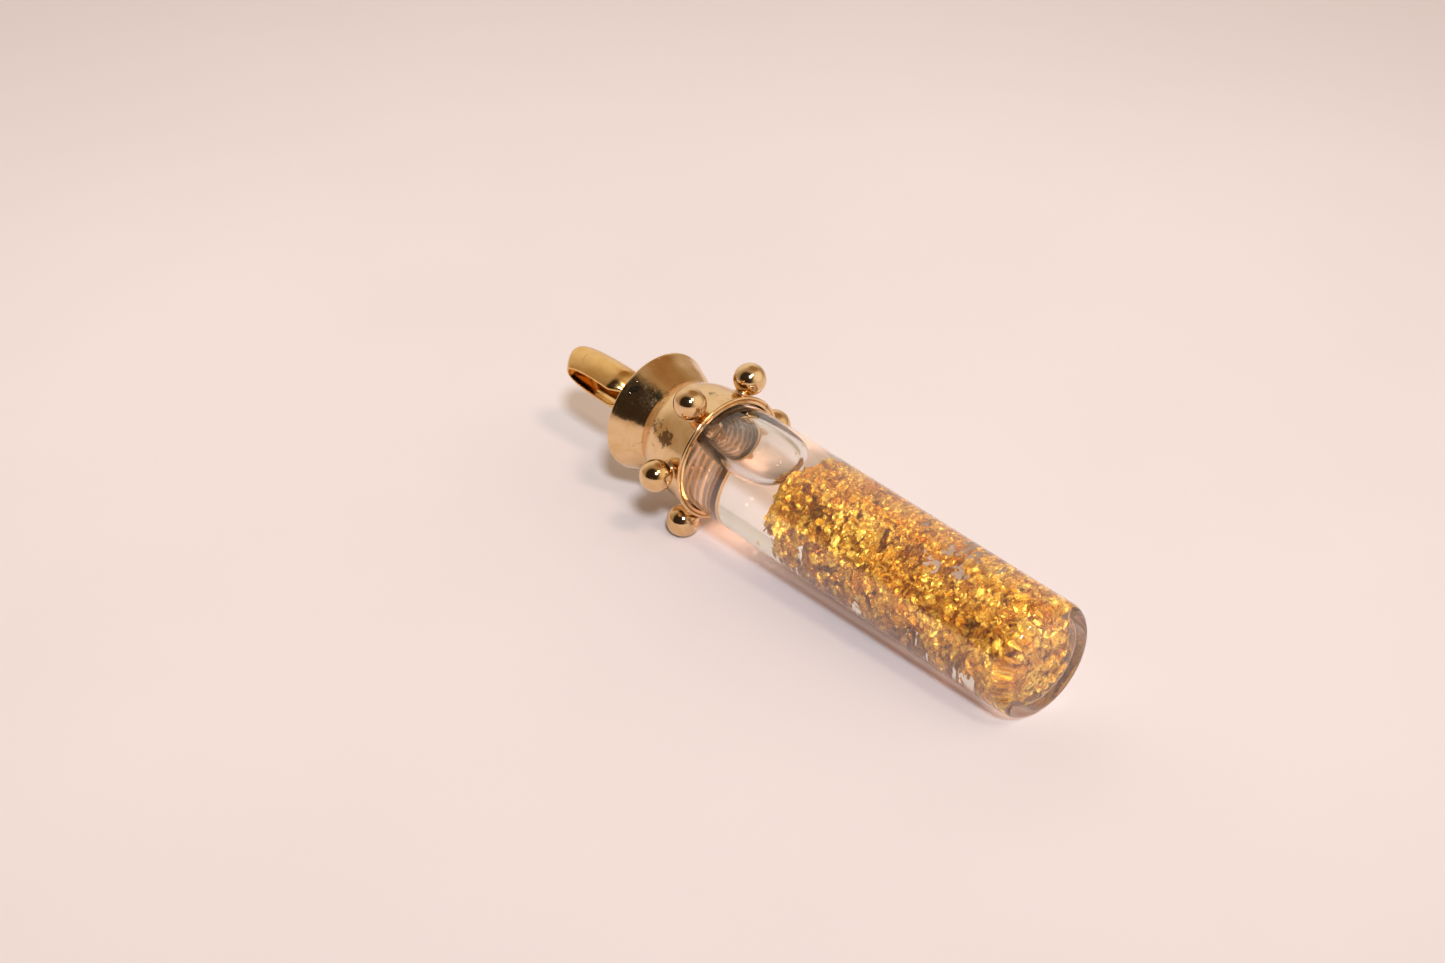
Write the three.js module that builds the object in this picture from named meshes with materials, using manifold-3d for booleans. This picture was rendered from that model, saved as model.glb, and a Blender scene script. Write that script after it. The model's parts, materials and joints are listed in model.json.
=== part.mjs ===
// Gold sample vial: a glass vial of gold leaf in clear liquid, closed by a
// spun metal bell cap with six ball beads, a top eye and a swinging bail.
// Millimetres. The vial lies on its side: it rests on two beads and on the
// lower edge of its own flat bottom, with +Z up and +X towards that bottom.
import * as THREE from 'three'
import { mergeVertices } from 'three/addons/utils/BufferGeometryUtils.js'
import Module from 'manifold-3d'

const wasm = await Module()
wasm.setup()

// ---- driving dimensions -------------------------------------------------
// The vial's own frame: X along the axis, zero in the plane of the cap's
// mouth, positive towards the vial's bottom; Z away from the resting side.
const VIAL_RADIUS = 5.0
const VIAL_WALL = 1.0
const VIAL_END = 36.5
const VIAL_FLOOR = 1.2
const VIAL_CORNER = 0.9
const SHOULDER_START = -0.8
const SHOULDER_END = -3.4
const NECK_RADIUS = 3.2
const NECK_BORE = 2.2
const NECK_TOP = -5.4

const CAP_TOP = -9.54
const CAP_WALL = 0.3
const FLARE_RADIUS = 5.55
const WAIST_X = -6.4
const WAIST_RADIUS = 4.3
const MOUTH_RADIUS = 5.42
const CROWN_CENTRE = -8.95
const CROWN_HOLE = 0.65
const WIRE_RADIUS = 0.14

const BEAD_COUNT = 6
const BEAD_RADIUS = 1.42
const BEAD_RING = 6.73
const BEAD_X = -1.6
const FOOT_RADIUS = 0.8

const EYE_X = -11.9
const EYE_HOLE = 1.0
const EYE_OUTER = 1.7
const EYE_HALF_THICK = 0.42
const STEM_RADIUS = 0.58

const BAIL_NEAR = -11.2
const BAIL_FAR = -19.5
const BAIL_HALF_HEIGHT = 0.9
const BAIL_THICK = 0.28
const BAIL_WIDTH = 3.8
const BAIL_NECK_WIDTH = 0.9
const BAIL_DOME = { length: 1.3, height: 1.05 }

const LEAF_COUNT = 12
const LEAF_FIRST = 9.4
const LEAF_LAST = 33.9
const LEAF_THICK = 0.3
const LEAF_REACH = 3.93

const BUBBLE = { x: 2.5, z: 2.15, length: 5.1, width: 2.7, depth: 2.1 }
const FIT_GAP = 0.05
const SOLDER_GAP = 0.02

// ---- helpers ------------------------------------------------------------
// A solid of revolution about the vial's axis from [x, radius] pairs, which
// may run round the section either way.
function turned(profile, segments) {
  const points = profile.map(([x, r]) => new THREE.Vector2(r, x))
  if (THREE.ShapeUtils.area(points) < 0) points.reverse()
  const geometry = new THREE.LatheGeometry(points, segments)
  geometry.rotateZ(-Math.PI / 2)
  return geometry
}

function solid(geometry) {
  const bare = geometry.clone()
  bare.deleteAttribute('normal')
  bare.deleteAttribute('uv')
  const merged = mergeVertices(bare, 1e-5)
  const make = (order) => new wasm.Manifold(new wasm.Mesh({
    numProp: 3,
    vertProperties: new Float32Array(merged.attributes.position.array),
    triVerts: order,
  }))
  const faces = new Uint32Array(merged.index.array)
  const first = make(faces)
  if (first.volume() > 0) return first
  const flipped = faces.slice()
  for (let i = 0; i < flipped.length; i += 3) {
    flipped[i + 1] = faces[i + 2]
    flipped[i + 2] = faces[i + 1]
  }
  return make(flipped)
}

function toGeometry(manifold) {
  const mesh = manifold.getMesh()
  const geometry = new THREE.BufferGeometry()
  const step = mesh.numProp
  const positions = new Float32Array(mesh.vertProperties.length / step * 3)
  for (let i = 0; i < positions.length / 3; i += 1) {
    for (let k = 0; k < 3; k += 1) positions[i * 3 + k] = mesh.vertProperties[i * step + k]
  }
  geometry.setAttribute('position', new THREE.BufferAttribute(positions, 3))
  geometry.setIndex(new THREE.BufferAttribute(new Uint32Array(mesh.triVerts), 1))
  return geometry
}

function metal(color, roughness) {
  return new THREE.MeshStandardMaterial({ color, roughness, metalness: 1 })
}

const gold = {
  cap: () => metal(0xe0b277, 0.24),
  bead: () => metal(0xe6bb80, 0.2),
  solder: () => metal(0xc79a63, 0.45),
  bail: () => metal(0xdba766, 0.22),
  leaf: () => metal(0xf0a92c, 0.32),
}

// ---- glass, contents and closure ---------------------------------------
// Outer radius of the glass shoulder, which draws in from body to neck.
function shoulderRadius(x) {
  const t = (SHOULDER_START - x) / (SHOULDER_START - SHOULDER_END)
  const s = Math.min(Math.max(t, 0), 1)
  return NECK_RADIUS + (VIAL_RADIUS - NECK_RADIUS) * (0.5 + 0.5 * Math.cos(Math.PI * s))
}

function shoulderCurve(offset, from, to, steps) {
  const points = []
  for (let i = 0; i <= steps; i += 1) {
    const x = from + (to - from) * i / steps
    points.push([x, shoulderRadius(x) - offset])
  }
  return points
}

function cornerArc(x, r, radius, steps) {
  const points = []
  for (let i = 0; i <= steps; i += 1) {
    const a = Math.PI / 2 * i / steps
    points.push([x - radius + radius * Math.sin(a), r - radius + radius * Math.cos(a)])
  }
  return points
}

function glassVial() {
  const bore = VIAL_RADIUS - VIAL_WALL
  const outside = [
    [NECK_TOP, NECK_RADIUS - 0.25],
    [NECK_TOP + 0.25, NECK_RADIUS],
    ...shoulderCurve(0, SHOULDER_END, SHOULDER_START, 4),
    ...cornerArc(VIAL_END, VIAL_RADIUS, VIAL_CORNER, 4),
    [VIAL_END, 0],
  ]
  const inside = [
    [VIAL_END - VIAL_FLOOR, 0],
    ...cornerArc(VIAL_END - VIAL_FLOOR, bore, 0.7, 3).reverse(),
    ...shoulderCurve(VIAL_WALL, SHOULDER_START, SHOULDER_END, 4),
    [NECK_TOP, NECK_BORE],
    [NECK_TOP, NECK_RADIUS - 0.25],
  ]
  return turned([...outside, ...inside], 40)
}

// Ribbed plug in the vial's neck.
function stopper() {
  const profile = [[NECK_TOP - 0.7, 0], [NECK_TOP - 0.7, NECK_BORE + 0.3]]
  profile.push([NECK_TOP - FIT_GAP, NECK_BORE + 0.3], [NECK_TOP - FIT_GAP, NECK_BORE - 0.35])
  const ribs = 3
  for (let i = 0; i < ribs; i += 1) {
    const x = NECK_TOP + 0.15 + i * 0.55
    profile.push([x, NECK_BORE - 0.35], [x + 0.14, NECK_BORE - FIT_GAP])
    profile.push([x + 0.3, NECK_BORE - FIT_GAP], [x + 0.44, NECK_BORE - 0.35])
  }
  profile.push([NECK_TOP + 2.0, NECK_BORE - 0.55], [NECK_TOP + 2.0, 0])
  return turned(profile, 18)
}

// Radius of the cap's outer skin between the waist and the mouth.
function bellRadius(x) {
  if (x < -5.0) return WAIST_RADIUS + (x - WAIST_X) * 0.314
  if (x < -4.0) return 4.74 + (x + 5.0) * 0.32
  return 5.06 + (x + 4.0) * (MOUTH_RADIUS - 5.06) / 4.0
}

// Cement that fills the cap around the neck and over the plug.
function cement() {
  const outer = [-1.5, -2.6, -4.0, -5.0, -6.2].map((x) => [x, bellRadius(x) - CAP_WALL - 0.08])
  const inner = shoulderCurve(-FIT_GAP - 0.03, SHOULDER_END, -1.5, 4)
  const overPlug = NECK_TOP - 0.7 - FIT_GAP
  const profile = [
    [-6.55, 0],
    [-6.55, WAIST_RADIUS - CAP_WALL - 0.25],
    ...outer.reverse(),
    ...inner.reverse(),
    [overPlug, NECK_RADIUS + 0.08],
    [overPlug, 0],
  ]
  return turned(profile, 24)
}

// One crumpled sheet of leaf: a thin lobed disc thrown into folds.
function crumple(index, x, y) {
  const p = index * 1.7
  const fold = Math.abs(Math.sin(0.85 * x + 0.55 * y + p)) - 0.6
  const cross = Math.sin(1.15 * y - 0.4 * x + 2.3 * p)
  const pucker = Math.sin(1.9 * x + p) * Math.cos(1.7 * y - p)
  return 0.42 * fold + 0.3 * cross + 0.12 * pucker
}

// Lobes of the sheet touch the bore's wall; between them the liquid passes.
function leafOutline(index, angle) {
  const lobes = 0.5 + 0.5 * Math.sin(3 * angle + index * 2.1)
  const nicks = 0.5 + 0.5 * Math.sin(5 * angle - index * 1.3)
  return Math.min(LEAF_REACH, 2.95 + 0.9 * lobes + 0.4 * nicks)
}

function leafSheet(index, grow) {
  const half = LEAF_THICK / 2 + grow
  const rings = 2
  const profile = []
  for (let i = 0; i <= rings; i += 1) profile.push([-half, i / rings])
  for (let i = rings; i >= 0; i -= 1) profile.push([half, i / rings])
  const geometry = turned(profile, 12)
  const at = geometry.attributes.position
  for (let i = 0; i < at.count; i += 1) {
    const angle = Math.atan2(at.getY(i), at.getZ(i))
    const reach = leafOutline(index, angle) + grow
    const y = at.getY(i) * reach
    const z = at.getZ(i) * reach
    at.setXYZ(i, at.getX(i) + crumple(index, y, z), y, z)
  }
  const spacing = (LEAF_LAST - LEAF_FIRST) / (LEAF_COUNT - 1)
  geometry.translate(LEAF_FIRST + index * spacing, 0, 0)
  return geometry
}

// Clear liquid in the bore, with the air bubble and the leaf taken out.
function liquid() {
  const bore = VIAL_RADIUS - VIAL_WALL - FIT_GAP
  const column = turned([
    [-3.25, 0],
    ...shoulderCurve(VIAL_WALL + FIT_GAP + 0.05, -3.25, SHOULDER_START + 0.1, 4),
    ...cornerArc(VIAL_END - VIAL_FLOOR - FIT_GAP, bore, 0.7, 3),
    [VIAL_END - VIAL_FLOOR - FIT_GAP, 0],
  ], 40)
  const air = new THREE.SphereGeometry(1, 16, 10)
  air.scale(BUBBLE.length, BUBBLE.width, BUBBLE.depth)
  air.translate(BUBBLE.x, 0, BUBBLE.z)
  let body = solid(column).subtract(solid(air))
  for (let i = 0; i < LEAF_COUNT; i += 1) body = body.subtract(solid(leafSheet(i, FIT_GAP)))
  return toGeometry(body)
}

// ---- cap ----------------------------------------------------------------
// Spun shell: dished crown, flared rim, creased waist, bell mouth.
function bellCap() {
  const skin = [
    [CROWN_CENTRE, CROWN_HOLE],
    [CROWN_CENTRE - 0.03, 2.0],
    [CAP_TOP + 0.2, 4.4],
    [CAP_TOP, 5.15],
    [CAP_TOP, 5.4],
    [CAP_TOP + 0.14, FLARE_RADIUS],
    [CAP_TOP + 0.32, FLARE_RADIUS - 0.03],
    [CAP_TOP + 0.7, 5.34],
    [CAP_TOP + 1.3, 5.12],
    [CAP_TOP + 1.9, 4.9],
    [CAP_TOP + 2.6, 4.58],
    [WAIST_X, WAIST_RADIUS],
    [-5.0, 4.74],
    [-4.0, 5.06],
    [0, MOUTH_RADIUS],
  ]
  const lining = [
    [0, MOUTH_RADIUS - CAP_WALL],
    [-4.0, 5.06 - CAP_WALL],
    [-5.0, 4.74 - CAP_WALL],
    [WAIST_X, WAIST_RADIUS - CAP_WALL - 0.03],
    [CAP_TOP + 2.6, 4.58 - CAP_WALL],
    [CAP_TOP + 1.9, 4.9 - CAP_WALL],
    [CAP_TOP + 1.1, 4.83],
    [CAP_TOP + 0.6, 4.4],
    [CROWN_CENTRE + 0.3, 2.0],
    [CROWN_CENTRE + 0.32, CROWN_HOLE],
    [CROWN_CENTRE, CROWN_HOLE],
  ]
  return turned([...skin, ...lining], 40)
}

// Ring of round wire along the outer edge of the mouth.
function mouthWire() {
  const centre = MOUTH_RADIUS + WIRE_RADIUS + SOLDER_GAP
  const profile = []
  for (let i = 0; i <= 6; i += 1) {
    const a = Math.PI * 2 * (i % 6) / 6
    profile.push([-WIRE_RADIUS - 0.02 - WIRE_RADIUS * Math.cos(a), centre + WIRE_RADIUS * Math.sin(a)])
  }
  return turned(profile, 40)
}

// Beads sit at 30 degrees either side of straight down, and every 60 round.
function beadAngle(index) {
  return THREE.MathUtils.degToRad(-30 + index * 60)
}

function bead(index) {
  const a = beadAngle(index)
  const geometry = new THREE.SphereGeometry(BEAD_RADIUS, 16, 10)
  geometry.translate(BEAD_X, -BEAD_RING * Math.sin(a), BEAD_RING * Math.cos(a))
  return geometry
}

// Collar of solder between one bead and the cap's skin.
function beadFoot(index) {
  const a = beadAngle(index)
  const post = new THREE.CylinderGeometry(FOOT_RADIUS * 0.8, FOOT_RADIUS, 0.7, 10)
  post.rotateX(Math.PI / 2)
  post.translate(0, 0, bellRadius(BEAD_X) + 0.12)
  post.rotateX(a)
  post.translate(BEAD_X, 0, 0)
  const ball = new THREE.SphereGeometry(BEAD_RADIUS + SOLDER_GAP, 16, 10)
  ball.translate(BEAD_X, -BEAD_RING * Math.sin(a), BEAD_RING * Math.cos(a))
  const from = BEAD_X - 1.5
  const to = BEAD_X + 1.2
  const skin = turned([
    [from, 0],
    [from, bellRadius(from) + SOLDER_GAP],
    [to, bellRadius(to) + SOLDER_GAP],
    [to, 0],
  ], 40)
  return toGeometry(solid(post).subtract(solid(ball)).subtract(solid(skin)))
}

// ---- eye and bail -------------------------------------------------------
// Flat lug with an upright hole, on a round stem through the crown.
function topEye() {
  const outline = new THREE.Shape()
  outline.absarc(EYE_X, 0, EYE_OUTER, 0, Math.PI * 2, false)
  const hole = new THREE.Path()
  hole.absarc(EYE_X, 0, EYE_HOLE, 0, Math.PI * 2, true)
  outline.holes.push(hole)
  const rounding = 0.14
  const lug = new THREE.ExtrudeGeometry(outline, {
    depth: (EYE_HALF_THICK - rounding) * 2,
    bevelEnabled: true,
    bevelSize: rounding,
    bevelThickness: rounding,
    bevelOffset: -rounding,
    bevelSegments: 1,
    curveSegments: 12,
  })
  lug.translate(0, 0, -(EYE_HALF_THICK - rounding))
  const stem = turned([
    [EYE_X + EYE_HOLE + 0.25, 0],
    [EYE_X + EYE_HOLE + 0.25, STEM_RADIUS * 0.66],
    [CROWN_CENTRE - 0.8, STEM_RADIUS],
    [CROWN_CENTRE + 0.75, STEM_RADIUS],
    [CROWN_CENTRE + 0.75, 0],
  ], 12)
  return toGeometry(solid(lug).add(solid(stem)))
}

// Solder collar that locks the stem under the crown.
function eyeSolder() {
  const near = CROWN_CENTRE + 0.32 + SOLDER_GAP
  return turned([
    [near, STEM_RADIUS + SOLDER_GAP],
    [near, 1.3],
    [near + 0.2, 1.05],
    [near + 0.38, STEM_RADIUS + SOLDER_GAP],
    [near, STEM_RADIUS + SOLDER_GAP],
  ], 12)
}

// Bail: a closed band bent to a long oval, its outer face domed across the
// width, drawn in to a narrow neck where it passes through the eye.
function bail() {
  const rows = 6
  const wall = [1, 0.8]
  const section = []
  for (let i = 0; i <= rows; i += 1) section.push([-1 + 2 * i / rows, wall[0]])
  for (let i = rows; i >= 0; i -= 1) section.push([-1 + 2 * i / rows, wall[1]])
  section.push([-1, wall[0]])
  const geometry = turned(section, 36)
  const at = geometry.attributes.position
  const centre = (BAIL_NEAR + BAIL_FAR) / 2
  const halfLength = (BAIL_NEAR - BAIL_FAR) / 2
  for (let i = 0; i < at.count; i += 1) {
    const across = at.getX(i)
    const angle = Math.atan2(at.getZ(i), at.getY(i))
    const inside = Math.hypot(at.getY(i), at.getZ(i)) < 0.9
    const c = Math.cos(angle)
    const s = Math.sin(angle)
    const arch = 1 - across * across
    const blunt = 0.84 - 0.34 * arch * THREE.MathUtils.smoothstep(-c, -0.2, 0.9)
    const along = Math.sign(c) * Math.abs(c) ** blunt
    const rise = Math.sign(s) * Math.abs(s) ** blunt
    const open = THREE.MathUtils.smoothstep(-along, -0.86, -0.3)
    const tip = THREE.MathUtils.smoothstep(-along, 0, 1)
    const skin = inside ? BAIL_THICK : 0
    const reach = halfLength - skin + BAIL_DOME.length * arch * tip
    const height = BAIL_HALF_HEIGHT - skin + BAIL_DOME.height * arch * open
    const width = BAIL_NECK_WIDTH + (BAIL_WIDTH - BAIL_NECK_WIDTH) * open
    at.setXYZ(i, centre + along * reach, across * width / 2, rise * height)
  }
  return toGeometry(solid(geometry))
}

// ---- assembly -----------------------------------------------------------
// Tilt at which two beads and the bottom edge stand on one flat surface.
function restTilt() {
  const beadDrop = BEAD_RING * Math.cos(Math.PI / 6)
  const lift = beadDrop - (VIAL_RADIUS - VIAL_CORNER)
  const reach = VIAL_END - VIAL_CORNER - BEAD_X
  const rest = BEAD_RADIUS - VIAL_CORNER
  return Math.atan2(lift, reach) + Math.asin(rest / Math.hypot(lift, reach))
}

const group = new THREE.Group()
group.name = 'gold_sample_vial'

function addPiece(name, geometry, material) {
  geometry.rotateY(restTilt())
  const mesh = new THREE.Mesh(geometry, material)
  mesh.name = name
  group.add(mesh)
}

const clearGlass = new THREE.MeshStandardMaterial({
  color: 0xdfe8e4,
  roughness: 0.04,
  metalness: 0,
  transparent: true,
  opacity: 0.35,
})
const clearLiquid = new THREE.MeshStandardMaterial({
  color: 0xf3eee0,
  roughness: 0.02,
  metalness: 0,
  transparent: true,
  opacity: 0.3,
})
const paleRubber = new THREE.MeshStandardMaterial({ color: 0xcfc8ba, roughness: 0.6, metalness: 0 })
const curedCement = new THREE.MeshStandardMaterial({ color: 0xd9d4c8, roughness: 0.5, metalness: 0 })

addPiece('glass_vial', glassVial(), clearGlass)
addPiece('liquid', liquid(), clearLiquid)
for (let i = 0; i < LEAF_COUNT; i += 1) {
  addPiece(`gold_leaf_${String(i + 1).padStart(2, '0')}`, toGeometry(solid(leafSheet(i, 0))), gold.leaf())
}
addPiece('stopper', stopper(), paleRubber)
addPiece('cement', cement(), curedCement)
addPiece('bell_cap', bellCap(), gold.cap())
addPiece('mouth_wire', mouthWire(), gold.cap())
for (let i = 0; i < BEAD_COUNT; i += 1) {
  addPiece(`bead_${i + 1}`, bead(i), gold.bead())
  addPiece(`bead_foot_${i + 1}`, beadFoot(i), gold.solder())
}
addPiece('top_eye', topEye(), gold.cap())
addPiece('eye_solder', eyeSolder(), gold.solder())
addPiece('bail', bail(), gold.bail())

// Origin at the middle of the footprint of the whole object's box.
const box = new THREE.Box3().setFromObject(group)
const middle = box.getCenter(new THREE.Vector3())
for (const piece of group.children) piece.geometry.translate(-middle.x, -middle.y, -box.min.z)

export default group
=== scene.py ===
import json
import math
import random

import bpy
from mathutils import Matrix, Vector, noise


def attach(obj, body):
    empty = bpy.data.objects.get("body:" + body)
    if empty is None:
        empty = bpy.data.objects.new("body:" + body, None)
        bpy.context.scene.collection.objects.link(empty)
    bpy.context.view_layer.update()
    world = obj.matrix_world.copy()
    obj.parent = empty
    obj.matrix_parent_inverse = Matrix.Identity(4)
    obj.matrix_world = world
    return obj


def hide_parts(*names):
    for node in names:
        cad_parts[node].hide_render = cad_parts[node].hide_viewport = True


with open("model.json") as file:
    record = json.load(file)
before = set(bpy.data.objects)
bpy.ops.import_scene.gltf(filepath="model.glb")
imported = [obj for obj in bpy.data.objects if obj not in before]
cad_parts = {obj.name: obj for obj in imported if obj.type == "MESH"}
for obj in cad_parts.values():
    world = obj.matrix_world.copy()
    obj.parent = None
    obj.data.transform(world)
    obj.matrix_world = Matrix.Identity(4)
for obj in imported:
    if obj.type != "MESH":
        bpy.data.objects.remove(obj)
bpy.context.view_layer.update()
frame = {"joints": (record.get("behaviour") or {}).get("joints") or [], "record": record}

MM = 0.001

# ---- the vial's own frame ----------------------------------------------
# u runs along the axis in millimetres: 0 at the cap's mouth, VIAL_END at the
# flat bottom. y is level and across, w is up, square to both.
VIAL_END = 36.5
mounts = {m["name"]: m for m in frame["record"]["mounts"]}
hinge = frame["joints"][0]
ALONG = Vector(mounts["vial_bottom"]["axis"]).normalized()
UPWARD = Vector(hinge["axis"]).normalized()
ACROSS = UPWARD.cross(ALONG).normalized()
BOTTOM = Vector(mounts["vial_bottom"]["pos_m"])
ORIGIN = BOTTOM - ALONG * VIAL_END * MM
AXES = Matrix((ALONG, ACROSS, UPWARD)).transposed()
PLACE = Matrix.Translation(ORIGIN) @ (AXES * MM).to_4x4()

# ---- shape dimensions, millimetres ---------------------------------------
TUBE_R, BORE_R = 5.0, 4.0
FLOOR_U, FLOOR_CORNER, END_CORNER = 35.3, 0.7, 0.9
WALL = 1.0
SHOULDER = (-0.8, -3.4)
NECK_R, NECK_BORE, NECK_TOP = 3.2, 2.2, -5.4
CAP_TOP, FLARE_R, WAIST_U, WAIST_R, MOUTH_R = -9.54, 5.55, -6.4, 4.3, 5.42
CAP_WALL = 0.3
CROWN_U = -8.95
BEAD_R, BEAD_RING, BEAD_U = 1.42, 6.73, -1.6
EYE_U, EYE_HOLE, EYE_OUTER, EYE_HALF = -11.9, 1.0, 1.7, 0.42
BAIL_NEAR, BAIL_FAR = -11.2, -19.5
BAIL_HALF, BAIL_THICK, BAIL_W, BAIL_NECK = 0.9, 0.28, 3.8, 0.9
DOME_LENGTH, DOME_HEIGHT = 1.3, 1.05


# ---- mesh helpers ----------------------------------------------------------
def piece(name, verts, faces, material, nodes=(), body="vial", sharp=40):
    """A mesh piece from vertices in the vial's frame (mm), riding on a body."""
    mesh = bpy.data.meshes.new(name)
    mesh.from_pydata([tuple(v) for v in verts], [], faces)
    mesh.transform(PLACE)
    mesh.validate()
    mesh.update()
    mesh.shade_smooth()
    if sharp:
        mesh.set_sharp_from_angle(angle=math.radians(sharp))
    obj = bpy.data.objects.new(name, mesh)
    bpy.context.scene.collection.objects.link(obj)
    mesh.materials.append(material)
    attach(obj, body)
    if nodes:
        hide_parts(*nodes)
    return obj


def lathe(profile, segments, closed, wobble=None):
    """Turns [(u, r), ...] about the axis; two points on the axis in a row end one surface and start the next."""
    verts, faces, rings = [], [], []
    for u, r in profile:
        if r < 1e-6:
            rings.append([len(verts)])
            verts.append((u, 0.0, 0.0))
            continue
        ring = []
        for i in range(segments):
            a = 2 * math.pi * i / segments
            du, dr = wobble(u, r, a) if wobble else (0.0, 0.0)
            ring.append(len(verts))
            verts.append((u + du, (r + dr) * math.sin(a), (r + dr) * math.cos(a)))
        rings.append(ring)
    pairs = list(zip(rings, rings[1:]))
    if closed:
        pairs.append((rings[-1], rings[0]))
    for first, second in pairs:
        if len(first) == len(second) == 1:
            continue
        for i in range(segments):
            j = (i + 1) % segments
            if len(first) == 1:
                faces.append((first[0], second[i], second[j]))
            elif len(second) == 1:
                faces.append((first[i], second[0], first[j]))
            else:
                faces.append((first[i], second[i], second[j], first[j]))
    area = sum(a[0] * b[1] - b[0] * a[1] for a, b in zip(profile, profile[1:] + profile[:1]))
    if area > 0:
        faces = [tuple(reversed(f)) for f in faces]
    return verts, faces


def arc(u, r, radius, start, stop, steps):
    """Points on a circle section about (u, r), angles in degrees from +u."""
    out = []
    for i in range(steps + 1):
        a = math.radians(start + (stop - start) * i / steps)
        out.append((u + radius * math.cos(a), r + radius * math.sin(a)))
    return out


def loop_faces(turns, n):
    """Quads of a closed loop of turns sections with n points each."""
    faces = []
    for i in range(turns):
        j = (i + 1) % turns
        for k in range(n):
            m = (k + 1) % n
            faces.append((i * n + k, i * n + m, j * n + m, j * n + k))
    return faces


def smooth_curve(points, steps):
    """Catmull-Rom curve through points."""
    out = []
    for i in range(len(points) - 1):
        p0 = points[max(i - 1, 0)]
        p1, p2 = points[i], points[i + 1]
        p3 = points[min(i + 2, len(points) - 1)]
        for k in range(steps):
            t = k / steps
            out.append(tuple(
                0.5 * (2 * b + (c - a) * t + (2 * a - 5 * b + 4 * c - d) * t * t
                       + (3 * b - a - 3 * c + d) * t ** 3)
                for a, b, c, d in zip(p0, p1, p2, p3)))
    out.append(points[-1])
    return out


def smoothstep(x, low, high):
    t = min(max((x - low) / (high - low), 0.0), 1.0)
    return t * t * (3 - 2 * t)


# ---- material helpers ------------------------------------------------------
class Nodes:
    """Short calls for the nodes of a material or of the world."""

    def __init__(self, tree):
        self.tree = tree
        self.tree.nodes.clear()

    def add(self, kind):
        return self.tree.nodes.new(kind)

    def link(self, a, b):
        self.tree.links.new(a, b)

    def ramp(self, value, low, high, a=0.0, b=1.0):
        n = self.add("ShaderNodeMapRange")
        n.interpolation_type = "SMOOTHSTEP"
        n.inputs["From Min"].default_value = low
        n.inputs["From Max"].default_value = high
        n.inputs["To Min"].default_value = a
        n.inputs["To Max"].default_value = b
        self.link(value, n.inputs["Value"])
        return n.outputs["Result"]

    def mix(self, factor, a, b):
        n = self.add("ShaderNodeMix")
        n.data_type = "RGBA"
        self.link(factor, n.inputs["Factor"])
        for value, socket in ((a, n.inputs[6]), (b, n.inputs[7])):
            if isinstance(value, tuple):
                socket.default_value = (*value, 1.0)
            else:
                self.link(value, socket)
        return n.outputs[2]

    def maths(self, kind, a, b):
        n = self.add("ShaderNodeMath")
        n.operation = kind
        for value, socket in ((a, n.inputs[0]), (b, n.inputs[1])):
            if isinstance(value, (int, float)):
                socket.default_value = value
            else:
                self.link(value, socket)
        return n.outputs[0]


class Shader(Nodes):
    """A node material on object coordinates scaled to millimetres."""

    def __init__(self, name):
        self.material = bpy.data.materials.new(name)
        self.material.use_nodes = True
        super().__init__(self.material.node_tree)
        self.out = self.add("ShaderNodeOutputMaterial")
        coords = self.add("ShaderNodeTexCoord")
        scale = self.add("ShaderNodeMapping")
        scale.inputs["Scale"].default_value = (1 / MM, 1 / MM, 1 / MM)
        self.link(coords.outputs["Object"], scale.inputs["Vector"])
        self.coords = scale.outputs["Vector"]

    def noise(self, scale, detail=3.0, rough=0.55, distortion=0.0):
        n = self.add("ShaderNodeTexNoise")
        n.inputs["Scale"].default_value = scale
        n.inputs["Detail"].default_value = detail
        n.inputs["Roughness"].default_value = rough
        n.inputs["Distortion"].default_value = distortion
        self.link(self.coords, n.inputs["Vector"])
        return n.outputs["Fac"]

    def spots(self, scale, low, high):
        n = self.add("ShaderNodeTexVoronoi")
        n.inputs["Scale"].default_value = scale
        self.link(self.coords, n.inputs["Vector"])
        return self.ramp(n.outputs["Distance"], low, high, 1.0, 0.0)

    def distance(self, place):
        """Millimetres from a place."""
        n = self.add("ShaderNodeVectorMath")
        n.operation = "DISTANCE"
        n.inputs[1].default_value = place
        self.link(self.coords, n.inputs[0])
        return n.outputs["Value"]

    def bump(self, height, strength, distance, under=None):
        n = self.add("ShaderNodeBump")
        n.inputs["Strength"].default_value = strength
        n.inputs["Distance"].default_value = distance * MM
        self.link(height, n.inputs["Height"])
        if under is not None:
            self.link(under, n.inputs["Normal"])
        return n.outputs["Normal"]

    def principled(self, **values):
        n = self.add("ShaderNodeBsdfPrincipled")
        for key, value in values.items():
            socket = n.inputs[key.replace("_", " ")]
            if isinstance(value, bpy.types.NodeSocket):
                self.link(value, socket)
            elif isinstance(value, tuple):
                socket.default_value = (*value, 1.0)
            else:
                socket.default_value = value
        return n.outputs[0]

    def finish(self, shader):
        self.link(shader, self.out.inputs["Surface"])
        return self.material

    def finish_lit_through(self, shader, tint, factor):
        """Puts tinted transparency in the shader's place for the rays that factor picks."""
        through = self.add("ShaderNodeBsdfTransparent")
        if isinstance(tint, tuple):
            through.inputs["Color"].default_value = (*tint, 1.0)
        else:
            self.link(tint, through.inputs["Color"])
        both = self.add("ShaderNodeMixShader")
        self.link(factor, both.inputs["Fac"])
        self.link(shader, both.inputs[1])
        self.link(through.outputs[0], both.inputs[2])
        return self.finish(both.outputs[0])


# Times a ray may be thrown about inside clear matter, the tint of lamps' light at its edges,
# and the share of lamps' light that a flake of leaf passes.
TRAPPED = 1.5
EDGE_SHADE = (0.3, 0.1, 0.03)
LEAF_GLOW = (0.4275, 0.27, 0.126)
TARNISH, PIT = (0.2, 0.17, 0.09), (0.16, 0.09, 0.04)


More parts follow.
